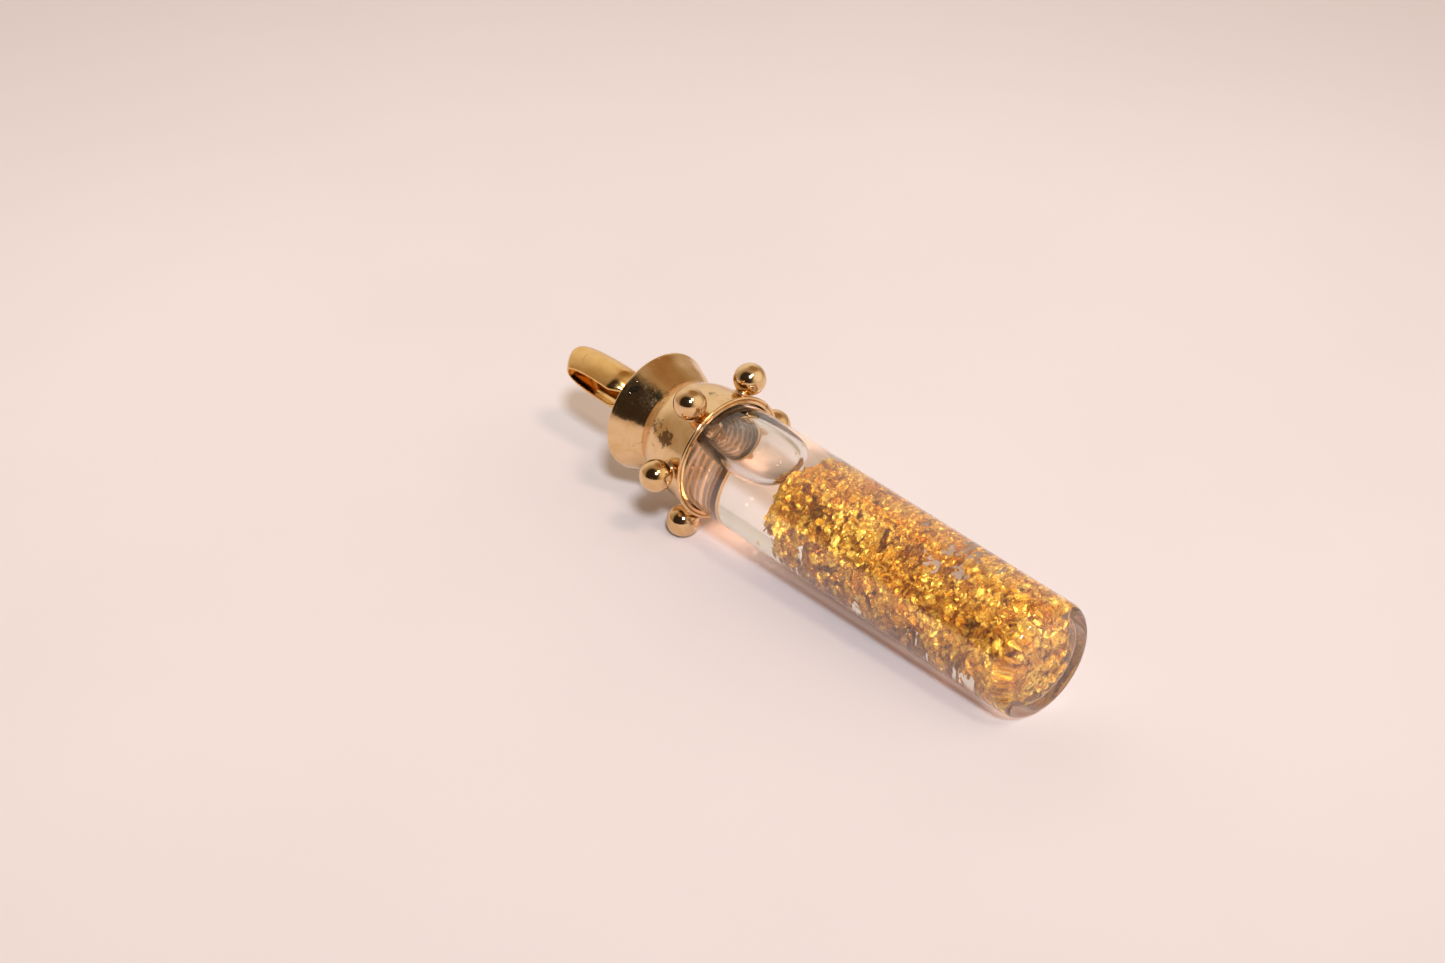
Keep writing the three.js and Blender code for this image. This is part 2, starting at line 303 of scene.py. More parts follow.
def gold_metal(name, light, deep, rough, stain, bump=0.5, marks=()):
    """Plated metal with clouded colour, tarnish, pits and soft dents. marks are (place, radius, colour)."""
    s = Shader(name)
    cloud = s.ramp(s.noise(0.45, 4, 0.6, 0.6), 0.35, 0.7)
    grain = s.noise(5.0, 5, 0.7)
    pits = s.spots(1.7, 0.0, 0.09)
    tarnish = s.ramp(s.noise(0.33, 5, 0.7, 1.2), 0.61, 0.7)
    color = s.mix(cloud, light, deep)
    color = s.mix(s.maths("MULTIPLY", tarnish, stain), color, TARNISH)
    color = s.mix(s.maths("MULTIPLY", pits, 0.7), color, PIT)
    for place, radius, tint in marks:
        near = s.distance(PLACE @ Vector(place) / MM)
        ragged = s.maths("ADD", near, s.ramp(s.noise(1.6, 4, 0.7), 0.2, 0.8, -0.7, 0.7))
        color = s.mix(s.ramp(ragged, radius * 0.75, radius, 0.85, 0.0), color, tint)
    roughness = s.maths("ADD", s.ramp(grain, 0.3, 0.75, rough * 0.7, rough * 1.6),
                        s.maths("MULTIPLY", tarnish, 0.25 * stain))
    dents = s.bump(s.noise(0.9, 2, 0.4), bump, 0.06)
    normal = s.bump(grain, 0.25, 0.006, dents)
    normal = s.bump(pits, 0.6, -0.03, normal)
    return s.finish(s.principled(Base_Color=color, Metallic=1.0, Roughness=roughness, Normal=normal))


def leaf_metal(name, bright, deep):
    """Crumpled leaf that passes a share of the lamps' light, for the light thrown between flakes."""
    s = Shader(name)
    patch = s.noise(0.28, 4, 0.65, 0.5)
    fold = s.noise(7.0, 4, 0.65, 0.8)
    color = s.mix(s.ramp(patch, 0.42, 0.6), bright, deep)
    normal = s.bump(fold, 0.7, 0.05)
    rough = s.ramp(s.noise(3.0), 0.3, 0.7, 0.14, 0.32)
    leaf = s.principled(Base_Color=color, Metallic=0.8, Roughness=rough, Normal=normal)
    path = s.add("ShaderNodeLightPath")
    return s.finish_lit_through(leaf, LEAF_GLOW, path.outputs["Is Shadow Ray"])


def clear_matter(name, tint, shade, index, rough, wave, edge=None):
    """Clear matter that lamps shine through, tinted by shade, and by EDGE_SHADE at a grazing angle
    between the two facings in edge, where light is bent away. Light that has been thrown about
    inside a wall more than TRAPPED times leaves it straight."""
    s = Shader(name)
    normal = s.bump(s.noise(0.35, 2, 0.4), wave, 0.05)
    clear = s.principled(Base_Color=tint, Roughness=rough, IOR=index, Transmission_Weight=1.0, Normal=normal)
    if edge:
        facing = s.add("ShaderNodeLayerWeight")
        shade = s.mix(s.ramp(facing.outputs["Facing"], *edge), shade, EDGE_SHADE)
    path = s.add("ShaderNodeLightPath")
    trapped = s.maths("GREATER_THAN", path.outputs["Glossy Depth"], TRAPPED)
    return s.finish_lit_through(clear, shade, s.maths("MAXIMUM", path.outputs["Is Shadow Ray"], trapped))


def filler(name, light, dark, rough, scatter, rings=None):
    """Set filling with clouded colour; rings adds bands square to the vial's axis, painted highlight streaks."""
    s = Shader(name)
    cloud = s.noise(1.4, 4, 0.6)
    grain = s.noise(8.0, 4, 0.7)
    color = s.mix(s.ramp(cloud, 0.35, 0.65), light, dark)
    if rings:
        # Painted highlight: the bands in the rings colour are painted highlight streaks on the filling.
        painted_highlight_bands = s.add("ShaderNodeTexWave")
        painted_highlight_bands.inputs["Scale"].default_value = 0.6
        painted_highlight_bands.inputs["Distortion"].default_value = 2.5
        painted_highlight_bands.inputs["Detail"].default_value = 3.0
        s.link(s.coords, painted_highlight_bands.inputs["Vector"])
        color = s.mix(s.ramp(painted_highlight_bands.outputs["Fac"], 0.3, 0.95, 0.0, 0.75), color, rings)
    return s.finish(s.principled(
        Base_Color=color, Roughness=s.ramp(grain, 0.3, 0.7, rough * 0.8, rough * 1.2),
        Subsurface_Weight=scatter, Subsurface_Scale=0.001, Normal=s.bump(grain, 0.4, 0.04)))


GLASS = clear_matter("vial_glass", (0.99, 0.985, 0.98), (0.96, 0.92, 0.88), 1.49, 0.01, 0.05, (0.3, 0.9))
LIQUID = clear_matter("vial_liquid", (0.98, 0.955, 0.93), (0.93, 0.85, 0.78), 1.46, 0.0, 0.0)
CAP_MARKS = (((-2.9, -4.7, 2.2), 0.8, (0.14, 0.07, 0.03)), ((-6.5, -2.3, 3.75), 0.55, (0.22, 0.22, 0.12)),
             ((-4.5, -4.3, 2.3), 0.45, (0.2, 0.11, 0.05)), ((-8.6, -3.4, 3.8), 0.5, (0.3, 0.27, 0.22)))
CAP = gold_metal("cap_gold", (0.82, 0.58, 0.32), (0.72, 0.45, 0.2), 0.13, 0.8, marks=CAP_MARKS)
BEAD = gold_metal("bead_gold", (0.8, 0.58, 0.33), (0.72, 0.45, 0.2), 0.09, 0.3, 0.25)
SOLDER = gold_metal("solder_gold", (0.85, 0.58, 0.34), (0.6, 0.36, 0.17), 0.28, 0.9)
BAIL = gold_metal("bail_gold", (0.82, 0.54, 0.22), (0.74, 0.43, 0.13), 0.12, 0.3, 0.2)
LEAF = leaf_metal("leaf_gold", (1.0, 0.73, 0.13), (0.88, 0.5, 0.045))
# The cement's last colour, (0.34, 0.22, 0.12), is painted in highlight streaks.
CEMENT = filler("cement", (0.16, 0.125, 0.095), (0.07, 0.05, 0.035), 0.22, 0.1, (0.34, 0.22, 0.12))
STOPPER = filler("stopper", (0.34, 0.27, 0.21), (0.17, 0.12, 0.08), 0.3, 0.2)


# ---- glass, liquid and closure -------------------------------------------
def shoulder_radius(u):
    """Outer radius of the glass: tube, rounded shoulder, neck."""
    t = (SHOULDER[0] - u) / (SHOULDER[0] - SHOULDER[1])
    s = min(max(t, 0.0), 1.0)
    return NECK_R + (TUBE_R - NECK_R) * (0.5 + 0.5 * math.cos(math.pi * s))


def shoulder(offset, start, stop, steps):
    """The glass's outline from start to stop along the axis, offset inwards."""
    places = [start + (stop - start) * i / steps for i in range(steps + 1)]
    return [(u, shoulder_radius(u) - offset) for u in places]


def build_glass():
    lip = 0.25
    profile = [(NECK_TOP, NECK_R - lip)]
    profile += arc(NECK_TOP + lip, NECK_R - lip, lip, 170, 90, 5)
    profile += shoulder(0, SHOULDER[1], SHOULDER[0], 18)
    profile += arc(VIAL_END - END_CORNER, TUBE_R - END_CORNER, END_CORNER, 90, 0, 12)
    profile += [(VIAL_END, 3.0), (VIAL_END - 0.03, 1.5), (VIAL_END - 0.05, 0.0)]
    profile += [(FLOOR_U + 0.12, 0.0), (FLOOR_U + 0.08, 1.6), (FLOOR_U, BORE_R - FLOOR_CORNER)]
    profile += arc(FLOOR_U - FLOOR_CORNER, BORE_R - FLOOR_CORNER, FLOOR_CORNER, 0, 90, 8)[1:]
    profile += shoulder(WALL, SHOULDER[0], SHOULDER[1], 18)
    profile += [(NECK_TOP, NECK_BORE)]

    def wobble(u, r, a):
        v = noise.noise(Vector((u * 0.13, math.sin(a) * 0.8, math.cos(a) * 0.8)))
        return 0.0, 0.02 * v if 0 < u < 34 else 0.0

    verts, faces = lathe(profile, 128, True, wobble)
    piece("vial_tube", verts, faces, GLASS, ["glass_vial"], sharp=50)


# The bubble: where it starts and stops along the axis, the height of its middle, its half height and width.
BUBBLE = dict(start=-2.75, stop=8.6, w=2.0, half_w=1.9, half_y=2.5)
BUBBLE_GAP = 0.06
LIQUID_TOP = -3.3
# How far the liquid and the cement reach into the glass.
LAP, CEMENT_LAP = 0.015, 0.012


def build_liquid():
    """The liquid reaches a hair into the glass, so that no film of air is left between them."""
    profile = [(LIQUID_TOP, 0.0), (LIQUID_TOP, shoulder_radius(LIQUID_TOP) - WALL + LAP)]
    profile += shoulder(WALL - LAP, LIQUID_TOP, SHOULDER[0], 16)
    profile += arc(FLOOR_U - FLOOR_CORNER, BORE_R - FLOOR_CORNER, FLOOR_CORNER + LAP, 90, 0, 8)
    profile += [(FLOOR_U + 0.08 + LAP, 1.6), (FLOOR_U + 0.12 + LAP, 0.0)]
    verts, faces = lathe(profile, 128, False)
    rows, turns = 40, 56
    b = BUBBLE
    base = len(verts)
    middle, half = (b["start"] + b["stop"]) / 2, (b["stop"] - b["start"]) / 2
    for i in range(1, rows):
        t = math.pi * i / rows
        c, s = math.cos(t), math.sin(t)
        along = -math.copysign(abs(c) ** 0.9, c)
        girth = s ** 0.75
        for k in range(turns):
            a = 2 * math.pi * k / turns
            y, w = math.sin(a) * b["half_y"] * girth, math.cos(a) * b["half_w"] * girth
            w = w + b["w"]
            reach = math.hypot(y, w)
            u = middle + half * along
            limit = (BORE_R if u > SHOULDER[0] else shoulder_radius(u) - WALL) - BUBBLE_GAP
            if reach > limit:
                y, w = y * limit / reach, w * limit / reach
            verts.append((u, y, w))
    top, tail = len(verts), len(verts) + 1
    verts += [(b["start"], 0.0, min(b["w"], 1.0)), (b["stop"], 0.0, b["w"])]

    def ring(i, k):
        return base + i * turns + k % turns

    for k in range(turns):
        faces.append((top, ring(0, k + 1), ring(0, k)))
        faces.append((tail, ring(rows - 2, k), ring(rows - 2, k + 1)))
        for i in range(rows - 2):
            faces.append((ring(i, k), ring(i, k + 1), ring(i + 1, k + 1), ring(i + 1, k)))
    piece("vial_liquid", verts, faces, LIQUID, ["liquid"], sharp=50)


def build_stopper():
    """A plug with three sealing ribs and a flange over the neck."""
    profile = [(NECK_TOP - 0.7, 0.0), (NECK_TOP - 0.7, 2.35)]
    profile += arc(NECK_TOP - 0.55, 2.35, 0.15, 180, 90, 4)[1:]
    profile += [(NECK_TOP - 0.05, 2.5), (NECK_TOP - 0.05, 1.85)]
    for i in range(3):
        u = NECK_TOP + 0.15 + i * 0.55
        profile += [(u, 1.85), (u + 0.1, 2.1), (u + 0.22, 2.15), (u + 0.34, 2.1), (u + 0.44, 1.85)]
    profile += [(NECK_TOP + 1.85, 1.8), (NECK_TOP + 2.0, 1.65), (NECK_TOP + 2.0, 1.2)]
    profile += [(NECK_TOP + 1.7, 1.0), (NECK_TOP + 1.6, 0.0)]
    verts, faces = lathe(profile, 72, False)
    piece("neck_stopper", verts, faces, STOPPER, ["stopper"], sharp=60)


def bell_radius(u):
    """Outer radius of the cap's bell, from waist to mouth."""
    if u < -5.0:
        return WAIST_R + (u - WAIST_U) * 0.314
    if u < -4.0:
        return 4.74 + (u + 5.0) * 0.32
    return 5.06 + (u + 4.0) * (MOUTH_R - 5.06) / 4.0


def build_cement():
    """Fills the bell round the neck, up to a rough front inside the mouth."""
    outer = [(u, bell_radius(u) - CAP_WALL - 0.06) for u in (-6.2, -5.6, -5.0, -4.0, -3.2, -2.4, -1.5, -0.5)]
    inner = shoulder(CEMENT_LAP, -0.5, SHOULDER[1], 18)
    over = NECK_TOP - 0.75
    profile = [(-6.55, 0.0), (-6.5, 2.0), (-6.45, WAIST_R - CAP_WALL - 0.3)] + outer
    profile += inner + [(over, NECK_R - CEMENT_LAP), (over, 0.0)]

    def wobble(u, r, a):
        v = noise.noise(Vector((u * 0.9, math.sin(a) * 2.2, math.cos(a) * 2.2)))
        return (0.1 * v if u > -0.8 else 0.0), 0.0

    verts, faces = lathe(profile, 96, False, wobble)
    piece("cap_cement", verts, faces, CEMENT, ["cement"], sharp=60)


# ---- gold leaf ---------------------------------------------------------------
def flake(rng, centre, size, verts, faces):
    """One torn, crumpled scrap of leaf: a folded patch with a ragged outline."""
    n = 5
    turn = Matrix.Rotation(rng.uniform(0, 2 * math.pi), 3, Vector(
        (rng.gauss(0, 1), rng.gauss(0, 1), rng.gauss(0, 1))).normalized())
    fold_a, fold_b = rng.uniform(0, 6.28), rng.uniform(0, 6.28)
    stretch = rng.uniform(0.45, 1.0)
    crease = rng.uniform(0.15, 0.42)
    base = len(verts)
    for i in range(n):
        for k in range(n):
            x, y = i / (n - 1) - 0.5, k / (n - 1) - 0.5
            edge = max(abs(x), abs(y)) * 2
            x += rng.uniform(-0.09, 0.09) * (0.4 + edge)
            y += rng.uniform(-0.09, 0.09) * (0.4 + edge)
            pull = 1 - 0.28 * edge * (abs(x) + abs(y))
            z = crease * (abs(math.sin(3.1 * x + fold_a)) - 0.5) + 0.5 * crease * math.sin(5 * y + fold_b)
            z += rng.uniform(-0.05, 0.05)
            p = Vector((x * pull, y * stretch * pull, z * 0.7)) * size
            verts.append(tuple(centre + turn @ p))
    for i in range(n - 1):
        for k in range(n - 1):
            a = base + i * n + k
            faces.append((a, a + n, a + n + 1))
            faces.append((a, a + n + 1, a + 1))


LEAF_FRONT, LEAF_END = 8.3, FLOOR_U - 0.1
SHEETS, FLAKES = 12, 3600
FLAKE_SIZES = (0.4, 0.6, 0.8, 1.1, 1.5, 1.9)
# Stray scraps ahead of the mass: place and size.
STRAYS = (((7.2, 1.6, 2.6), 0.5), ((6.9, 1.9, 2.9), 0.3), ((7.9, -2.2, -2.4), 0.45), ((7.4, -1.8, -2.9), 0.3))
# Clear pockets through the leaf: place along the axis, offset across LOOK, radius.
POCKETS = ((23.3, -1.3, 0.85), (26.1, -2.0, 0.9), (25.2, -3.3, 0.8), (26.6, 3.2, 0.75), (30.0, 3.15, 0.8))
LOOK = (-0.67, -0.74)


def pocket_gap(u, y, w):
    """Distance to the nearest clear pocket, negative inside it."""
    offset = y * LOOK[0] + w * LOOK[1]
    ragged = 0.4 * noise.noise(Vector((u * 1.1, y * 1.1, w * 1.1)))
    return min(math.hypot(u - place, offset - across) - radius - ragged for place, across, radius in POCKETS)


def leaf_density(u, y, w):
    """0 to 1: how much leaf there is at a place, from clumps with clear pockets between."""
    r = math.hypot(y, w) / BORE_R
    if u < BUBBLE["stop"] + 0.3 and w > 0.2:
        return 0.0
    front = LEAF_FRONT + 3.0 * r * r + 0.7 * noise.noise(Vector((y * 0.5, w * 0.5, 3.0)))
    if u < front:
        return 0.0
    clump = noise.noise(Vector((u * 0.3, y * 0.42, w * 0.42 + 7.0)))
    fine = noise.noise(Vector((u * 0.9 + 40, y * 0.9, w * 0.9)))
    skin = smoothstep(front + 1.6 - u, 0.0, 1.6)
    thin = 0.32 * smoothstep(u, 24.0, 34.0) * smoothstep(r, 0.55, 1.0)
    return min(max(0.72 + 0.9 * clump + 0.35 * fine + 0.6 * skin - thin, 0.0), 1.0)


def build_leaf():
    """Torn flakes through the liquid, in SHEETS lots along the vial, one for each sheet of leaf in the CAD."""
    rng = random.Random(616)
    lots = [([], []) for _ in range(SHEETS)]
    made = 0
    while made < FLAKES:
        u = rng.uniform(LEAF_FRONT - 0.5, LEAF_END)
        r = (BORE_R - 0.12) * math.sqrt(rng.random())
        a = rng.uniform(0, 2 * math.pi)
        y, w = r * math.sin(a), r * math.cos(a)
        if rng.random() > leaf_density(u, y, w) ** 1.5:
            continue
        size = rng.choice(FLAKE_SIZES)
        room = BORE_R - 0.05 - r
        gap = pocket_gap(u, y, w)
        if gap < 0:
            continue
        size = min(size, 0.35 + room * 1.6, 0.25 + gap * 1.8)
        lot = min(max(int((u - LEAF_FRONT) / (LEAF_END - LEAF_FRONT) * SHEETS), 0), SHEETS - 1)
        flake(rng, Vector((u, y, w)), size, *lots[lot])
        made += 1
    for place, size in STRAYS:
        flake(rng, Vector(place), size, *lots[0])
    for i, (verts, faces) in enumerate(lots):
        held = []
        for u, y, w in verts:
            k = min(1.0, (BORE_R - 0.04) / max(math.hypot(y, w), 1e-6))
            held.append((min(u, LEAF_END + 0.05), y * k, w * k))
        lot = piece(f"leaf_lot_{i + 1:02d}", held, faces, LEAF, [f"gold_leaf_{i + 1:02d}"],
                    sharp=35)
        for face in lot.data.polygons:
            face.use_smooth = False


# ---- cap ---------------------------------------------------------------------
def build_cap():
    """Spun shell: crown, flare, creased waist and bell, with its lining."""
    flare = smooth_curve([(CAP_TOP + 0.3, FLARE_R - 0.02), (CAP_TOP + 0.7, 5.36), (CAP_TOP + 1.3, 5.13),
                          (CAP_TOP + 1.9, 4.9), (CAP_TOP + 2.6, 4.56), (WAIST_U - 0.12, WAIST_R + 0.04)], 8)
    bell = smooth_curve([(WAIST_U + 0.1, WAIST_R + 0.04), (-5.7, 4.55), (-5.0, 4.8), (-4.0, 5.08),
                         (-2.5, 5.25), (-1.2, 5.35), (-0.1, MOUTH_R)], 8)
    rim_outer = arc(CAP_TOP + 0.16, FLARE_R - 0.16, 0.16, 180, 60, 8)
    crown = smooth_curve([(CROWN_U, 0.64), (CROWN_U - 0.02, 1.6), (CROWN_U - 0.14, 3.0),
                          (CAP_TOP + 0.16, 4.5), (CAP_TOP + 0.02, 5.1)], 5)
    lining = smooth_curve([(0.0, MOUTH_R - CAP_WALL), (-1.2, 5.05), (-2.5, 4.95), (-4.0, 4.78),
                           (-5.0, 4.46), (-5.8, 4.15), (WAIST_U, 3.98), (CAP_TOP + 2.6, 4.25),
                           (CAP_TOP + 1.9, 4.6), (CAP_TOP + 1.1, 4.83), (CAP_TOP + 0.65, 4.4),
                           (CROWN_U + 0.3, 2.0), (CROWN_U + 0.3, 0.64)], 4)
    profile = crown + rim_outer + flare + [(WAIST_U, WAIST_R - 0.01)] + bell + [(0.0, MOUTH_R - 0.06)] + lining

    def wobble(u, r, a):
        """Small unevenness of spun and worn metal."""
        p = Vector((u * 0.22, math.sin(a) * 1.1, math.cos(a) * 1.1))
        v = 0.05 * noise.noise(p) + 0.02 * noise.noise(p * 2.7 + Vector((5, 1, 2)))
        return 0.0, v * smoothstep(r, 3.0, 4.2) * (1 - smoothstep(u, -4.5, -1.5) * 0.8)

    verts, faces = lathe(profile, 160, True, wobble)
    piece("cap_shell", verts, faces, CAP, ["bell_cap"], sharp=45)


def build_wire():
    """Wire soldered round the cap's mouth."""
    radius = 0.15
    centre = (-0.14, MOUTH_R + 0.13)
    profile = arc(centre[0], centre[1], radius, 0, 330, 11)

    def wobble(u, r, a):
        v = noise.noise(Vector((2.0, math.sin(a) * 2.5, math.cos(a) * 2.5)))
        return 0.025 * v, 0.03 * v

    verts, faces = lathe(profile, 160, True, wobble)
    piece("mouth_edge_wire", verts, faces, CAP, ["mouth_wire"], sharp=0)


def bead_frame(index):
    """Turns a bead's own axis, +u here, to point out from the cap's axis."""
    a = math.radians(-30 + 60 * index)
    out = Vector((0, -math.sin(a), math.cos(a)))
    side = Vector((1, 0, 0))
    third = out.cross(side)
    m = Matrix((out, side, third)).transposed().to_4x4()
    m.translation = Vector((BEAD_U, 0, 0))
    return m


def build_beads():
    """Six balls round the bell, each on a ragged foot of solder sunk to the bell's skin."""
    base = BEAD_RING - BEAD_R
    for index in range(6):
        place = bead_frame(index)
        ball = []
        for i in range(33):
            t = math.pi * i / 32
            r = BEAD_R * math.sin(t)
            u = BEAD_RING - BEAD_R * math.cos(t)
            if u < base + 0.3:
                r = max(r, 0.42 * (1 - (u - base) / 0.3) + r * 0.6) if 0 < i < 32 else 0.0
            ball.append((u, r))

        def dent(u, r, a):
            v = noise.noise(Vector((u * 0.6 + index * 9, math.sin(a) * r * 0.6, math.cos(a) * r * 0.6)))
            return 0.0, 0.02 * v

        verts, faces = lathe(ball, 64, False, dent)
        verts = [place @ Vector(v) for v in verts]
        piece(f"bead_ball_{index + 1}", verts, faces, BEAD, [f"bead_{index + 1}"], sharp=0)
        skin = bell_radius(BEAD_U) + 0.005
        foot = [(skin - 0.12, 0.3), (skin - 0.12, 0.92), (skin + 0.03, 0.86), (skin + 0.12, 0.74),
                (skin + 0.22, 0.68), (skin + 0.3, 0.7), (skin + 0.24, 0.3)]

        def ragged(u, r, a):
            v = noise.noise(Vector((index * 5.0, math.sin(a) * 1.3, math.cos(a) * 1.3)))
            return 0.0, 0.16 * v * smoothstep(r, 0.5, 0.8)

        verts, faces = lathe(foot, 48, True, ragged)
        sunk = []
        for v in verts:
            p = place @ Vector(v)
            if v[0] < skin:
                r = math.hypot(p.y, p.z)
                k = (bell_radius(p.x) - 0.06) / r
                p.y, p.z = p.y * k, p.z * k
            sunk.append(p)
        piece(f"bead_solder_{index + 1}", sunk, faces, SOLDER, [f"bead_foot_{index + 1}"], sharp=60)


# ---- eye and bail ----------------------------------------------------------
def build_eye():
    """Flat ring with rounded edges on a short tapering stem."""
    verts = []
    turns, section = 72, []
    mid, half = (EYE_HOLE + EYE_OUTER) / 2, (EYE_OUTER - EYE_HOLE) / 2
    for k in range(16):
        a = 2 * math.pi * k / 16
        c, s = math.cos(a), math.sin(a)
        section.append((mid + half * math.copysign(abs(c) ** 0.6, c),
                        EYE_HALF * math.copysign(abs(s) ** 0.6, s)))
    for i in range(turns):
        a = 2 * math.pi * i / turns
        for r, z in section:
            verts.append((EYE_U + r * math.cos(a), r * math.sin(a), z))
    faces = [(a, d, c, b) for a, b, c, d in loop_faces(turns, len(section))]
    stem = smooth_curve([(EYE_U + EYE_HOLE + 0.3, 0.0), (EYE_U + EYE_HOLE + 0.3, 0.38),
                         (EYE_U + EYE_OUTER + 0.1, 0.42), (CROWN_U - 0.7, 0.52), (CROWN_U - 0.25, 0.58),
                         (CROWN_U + 0.75, 0.58), (CROWN_U + 0.75, 0.0)], 4)
    more, more_faces = lathe(stem, 32, False)
    base = len(verts)
    verts += more
    faces += [tuple(base + i for i in f) for f in more_faces]
    piece("crown_eye", verts, faces, CAP, ["top_eye"], sharp=0)


def build_eye_solder():
    near = CROWN_U + 0.33
    profile = [(near, 0.6), (near, 1.3), (near + 0.08, 1.22), (near + 0.2, 1.0),
               (near + 0.33, 0.78), (near + 0.38, 0.6)]

    def wobble(u, r, a):
        return 0.0, 0.08 * noise.noise(Vector((u, math.sin(a) * 1.5, math.cos(a) * 1.5))) * smoothstep(r, 0.6, 1.0)

    verts, faces = lathe(profile, 48, True, wobble)
    piece("crown_solder", verts, faces, SOLDER, ["eye_solder"], sharp=60)


def bail_point(turn, across, skin):
    """A point of the bail: turn runs round the loop, across from edge to edge, skin in from the outer face."""
    c, s = math.cos(turn), math.sin(turn)
    arch = 1 - across * across
    blunt = 0.84 - 0.34 * arch * smoothstep(-c, -0.2, 0.9)
    along = math.copysign(abs(c) ** blunt, c)
    rise = math.copysign(abs(s) ** blunt, s)
    opened = smoothstep(-along, -0.86, -0.3)
    tip = smoothstep(-along, 0.0, 1.0)
    half = (BAIL_NEAR - BAIL_FAR) / 2
    reach = half - skin + DOME_LENGTH * arch * tip
    height = BAIL_HALF - skin + DOME_HEIGHT * arch * opened
    width = BAIL_NECK + (BAIL_W - BAIL_NECK) * opened
    return ((BAIL_NEAR + BAIL_FAR) / 2 + along * reach, across * width / 2, rise * height)


def build_bail():
    """A thin band with rounded edges, carried round the loop."""
    turns, rows = 144, 20
    middle = 0.5 * BAIL_THICK
    bevel = middle * 0.35
    across_band = [-0.93 + 1.86 * i / rows for i in range(rows + 1)]
    ring = [(across, 0.0) for across in across_band]
    ring += [(0.975, bevel), (1.0, middle), (0.975, BAIL_THICK - bevel)]
    ring += [(across, BAIL_THICK) for across in reversed(across_band)]
    ring += [(-0.975, BAIL_THICK - bevel), (-1.0, middle), (-0.975, bevel)]
    verts = [bail_point(2 * math.pi * (i + 0.5) / turns, across, skin)
             for i in range(turns) for across, skin in ring]
    piece("bail_band", verts, loop_faces(turns, len(ring)), BAIL, ["bail"], body="bail", sharp=0)


build_glass()
build_liquid()
build_leaf()
build_stopper()
build_cement()
build_cap()
build_wire()
build_beads()
build_eye()
build_eye_solder()
build_bail()


# ---- stage, light and camera -------------------------------------------------
# The floor's half width in metres, and where a painted pool of light is brightest and how it falls off from there
# in millimetres.
FLOOR_HALF = 0.9
FLOOR_BRIGHT, FLOOR_FALL = (-22, 20, 0), (50, 170)
ROOM = (0.44, 0.33, 0.23)
# The share of the dark patch that rays out of the glass don't see.
CLEARER = 0.75
# The camera: millimetres from the vial's origin, degrees, and its lens.
CAMERA_PLACE = (140.07, -127.81, 107.89)
CAMERA_AZIMUTH, CAMERA_ELEVATION, CAMERA_ROLL = 47.773, 30.16, 1.052
CAMERA_LENS = 64.17
LAMP_DISTANCE = 3.0


def direction(azimuth, elevation):
    a, e = math.radians(azimuth), math.radians(elevation)
    return Vector((math.sin(a) * math.cos(e), -math.cos(a) * math.cos(e), math.sin(e)))


def build_floor():
    s = Shader("table_top")
    cloud = s.noise(0.01, 4, 0.6)
    color = s.mix(s.ramp(cloud, 0.3, 0.7), (0.845, 0.78, 0.77), (0.815, 0.745, 0.735))
    # Painted light: the floor is painted darker away from FLOOR_BRIGHT, a pool of light that fades towards the
    # corners.
    color = s.mix(s.ramp(s.distance(FLOOR_BRIGHT), *FLOOR_FALL), color, (0.66, 0.585, 0.57))
    material = s.finish(s.principled(Base_Color=color, Roughness=0.7,
                                     Normal=s.bump(s.noise(0.8, 4, 0.6), 0.15, 0.05)))
    mesh = bpy.data.meshes.new("table")
    h = FLOOR_HALF
    mesh.from_pydata([(-h, -h, 0), (h, -h, 0), (h, h, 0), (-h, h, 0)], [], [(0, 1, 2, 3)])
    floor = bpy.data.objects.new("table", mesh)
    bpy.context.scene.collection.objects.link(floor)
    mesh.materials.append(material)


def area_light(name, azimuth, elevation, size, power, color):
    data = bpy.data.lights.new(name, "AREA")
    data.shape = "DISK"
    data.size = size
    data.energy = power
    data.color = color
    obj = bpy.data.objects.new(name, data)
    bpy.context.scene.collection.objects.link(obj)
    toward = direction(azimuth, elevation)
    obj.location = toward * LAMP_DISTANCE
    obj.rotation_euler = toward.to_track_quat("Z", "Y").to_euler()


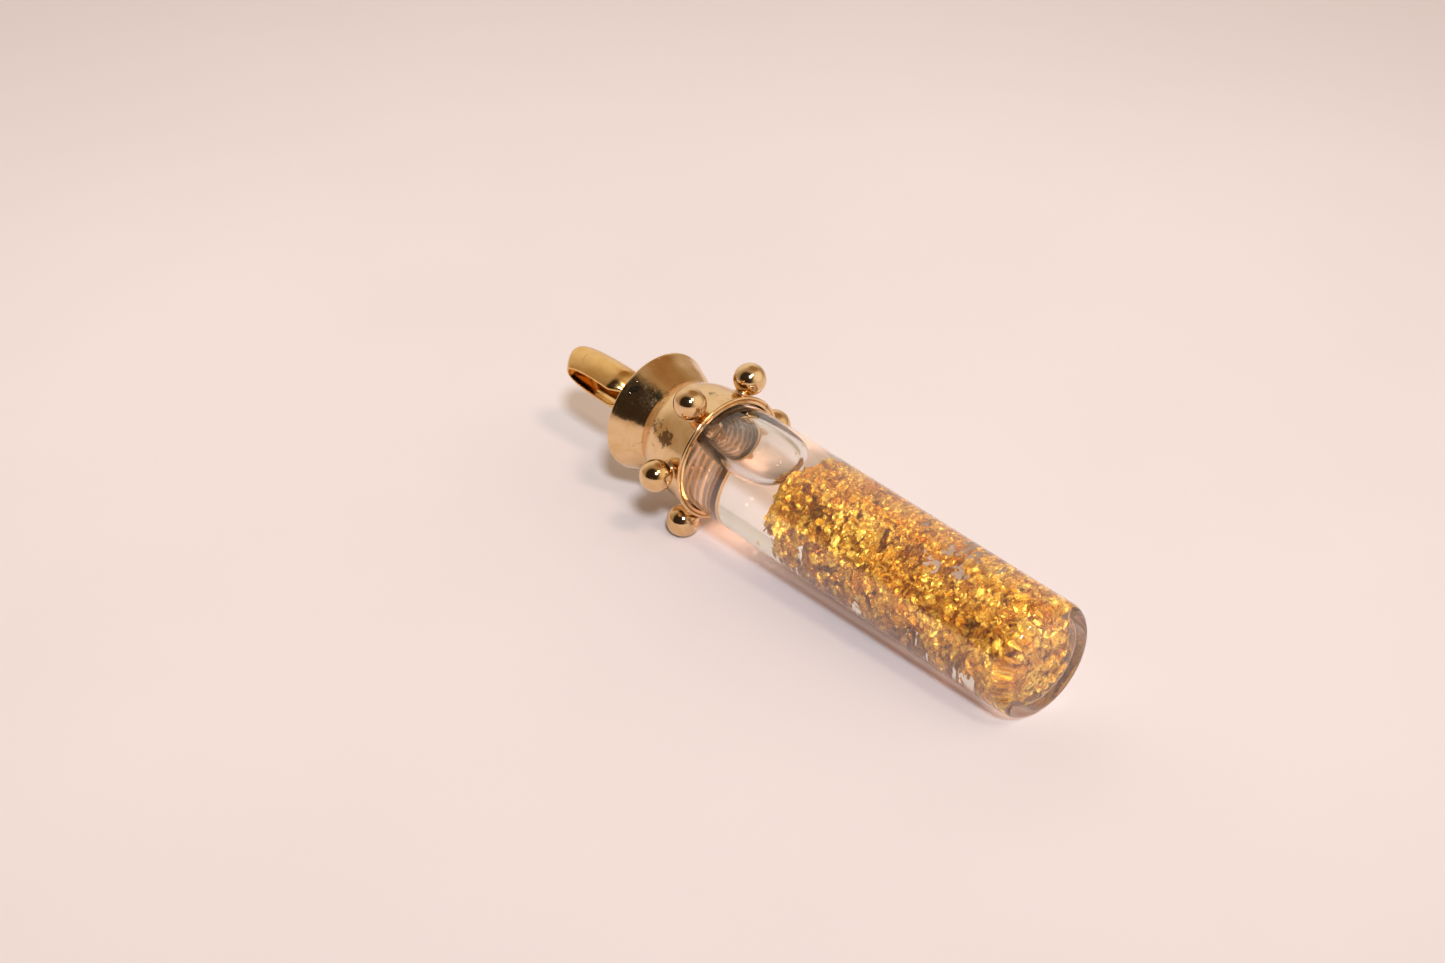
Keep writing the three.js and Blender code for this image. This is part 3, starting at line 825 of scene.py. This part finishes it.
def build_world():
    """A warm room with bright and dark patches for the metal to mirror. Rays that come out of the
    glass see it without the dark patch."""
    world = bpy.data.worlds.new("studio")
    bpy.context.scene.world = world
    world.use_nodes = True
    w = Nodes(world.node_tree)
    out = w.add("ShaderNodeOutputWorld")
    back = w.add("ShaderNodeBackground")
    coords = w.add("ShaderNodeTexCoord")

    def patch(azimuth, elevation, inner, outer):
        """1 within inner degrees of a direction, 0 beyond outer."""
        dot = w.add("ShaderNodeVectorMath")
        dot.operation = "DOT_PRODUCT"
        dot.inputs[1].default_value = direction(azimuth, elevation)
        w.link(coords.outputs["Generated"], dot.inputs[0])
        return w.ramp(dot.outputs["Value"], math.cos(math.radians(outer)), math.cos(math.radians(inner)))

    color = w.mix(patch(245, 25, 15, 55), ROOM, (0.85, 0.75, 0.64))
    color = w.mix(patch(120, 25, 12, 50), color, (0.95, 0.82, 0.66))
    color = w.mix(patch(190, 62, 5, 34), color, (0.34, 0.2, 0.09))
    shaded = w.mix(patch(16, 27, 37, 58), color, (0.035, 0.024, 0.017))
    path = w.add("ShaderNodeLightPath")
    through = w.maths("MINIMUM", path.outputs["Transmission Depth"], CLEARER)
    w.link(w.mix(through, shaded, color), back.inputs["Color"])
    back.inputs["Strength"].default_value = 1.1
    w.link(back.outputs[0], out.inputs["Surface"])


def build_camera():
    data = bpy.data.cameras.new("camera")
    data.sensor_width = 36.0
    data.lens = CAMERA_LENS
    data.clip_start = 0.005
    camera = bpy.data.objects.new("camera", data)
    bpy.context.scene.collection.objects.link(camera)
    back = direction(CAMERA_AZIMUTH, CAMERA_ELEVATION)
    a, r = math.radians(CAMERA_AZIMUTH), math.radians(CAMERA_ROLL)
    level = Vector((math.cos(a), math.sin(a), 0))
    above = back.cross(level)
    right = level * math.cos(r) + above * math.sin(r)
    up = above * math.cos(r) - level * math.sin(r)
    camera.matrix_world = Matrix.Translation(ORIGIN + Vector(CAMERA_PLACE) * MM) @ Matrix(
        (right, up, back)).transposed().to_4x4()
    bpy.context.scene.camera = camera


build_floor()
build_world()
area_light("key_light", 54, 43.5, 0.4, 67.0, (0.83, 0.895, 1.0))
area_light("warm_light", 78, 54, 0.5, 20.0, (1.0, 0.74, 0.58))
build_camera()
bpy.context.scene.view_settings.view_transform = "Standard"
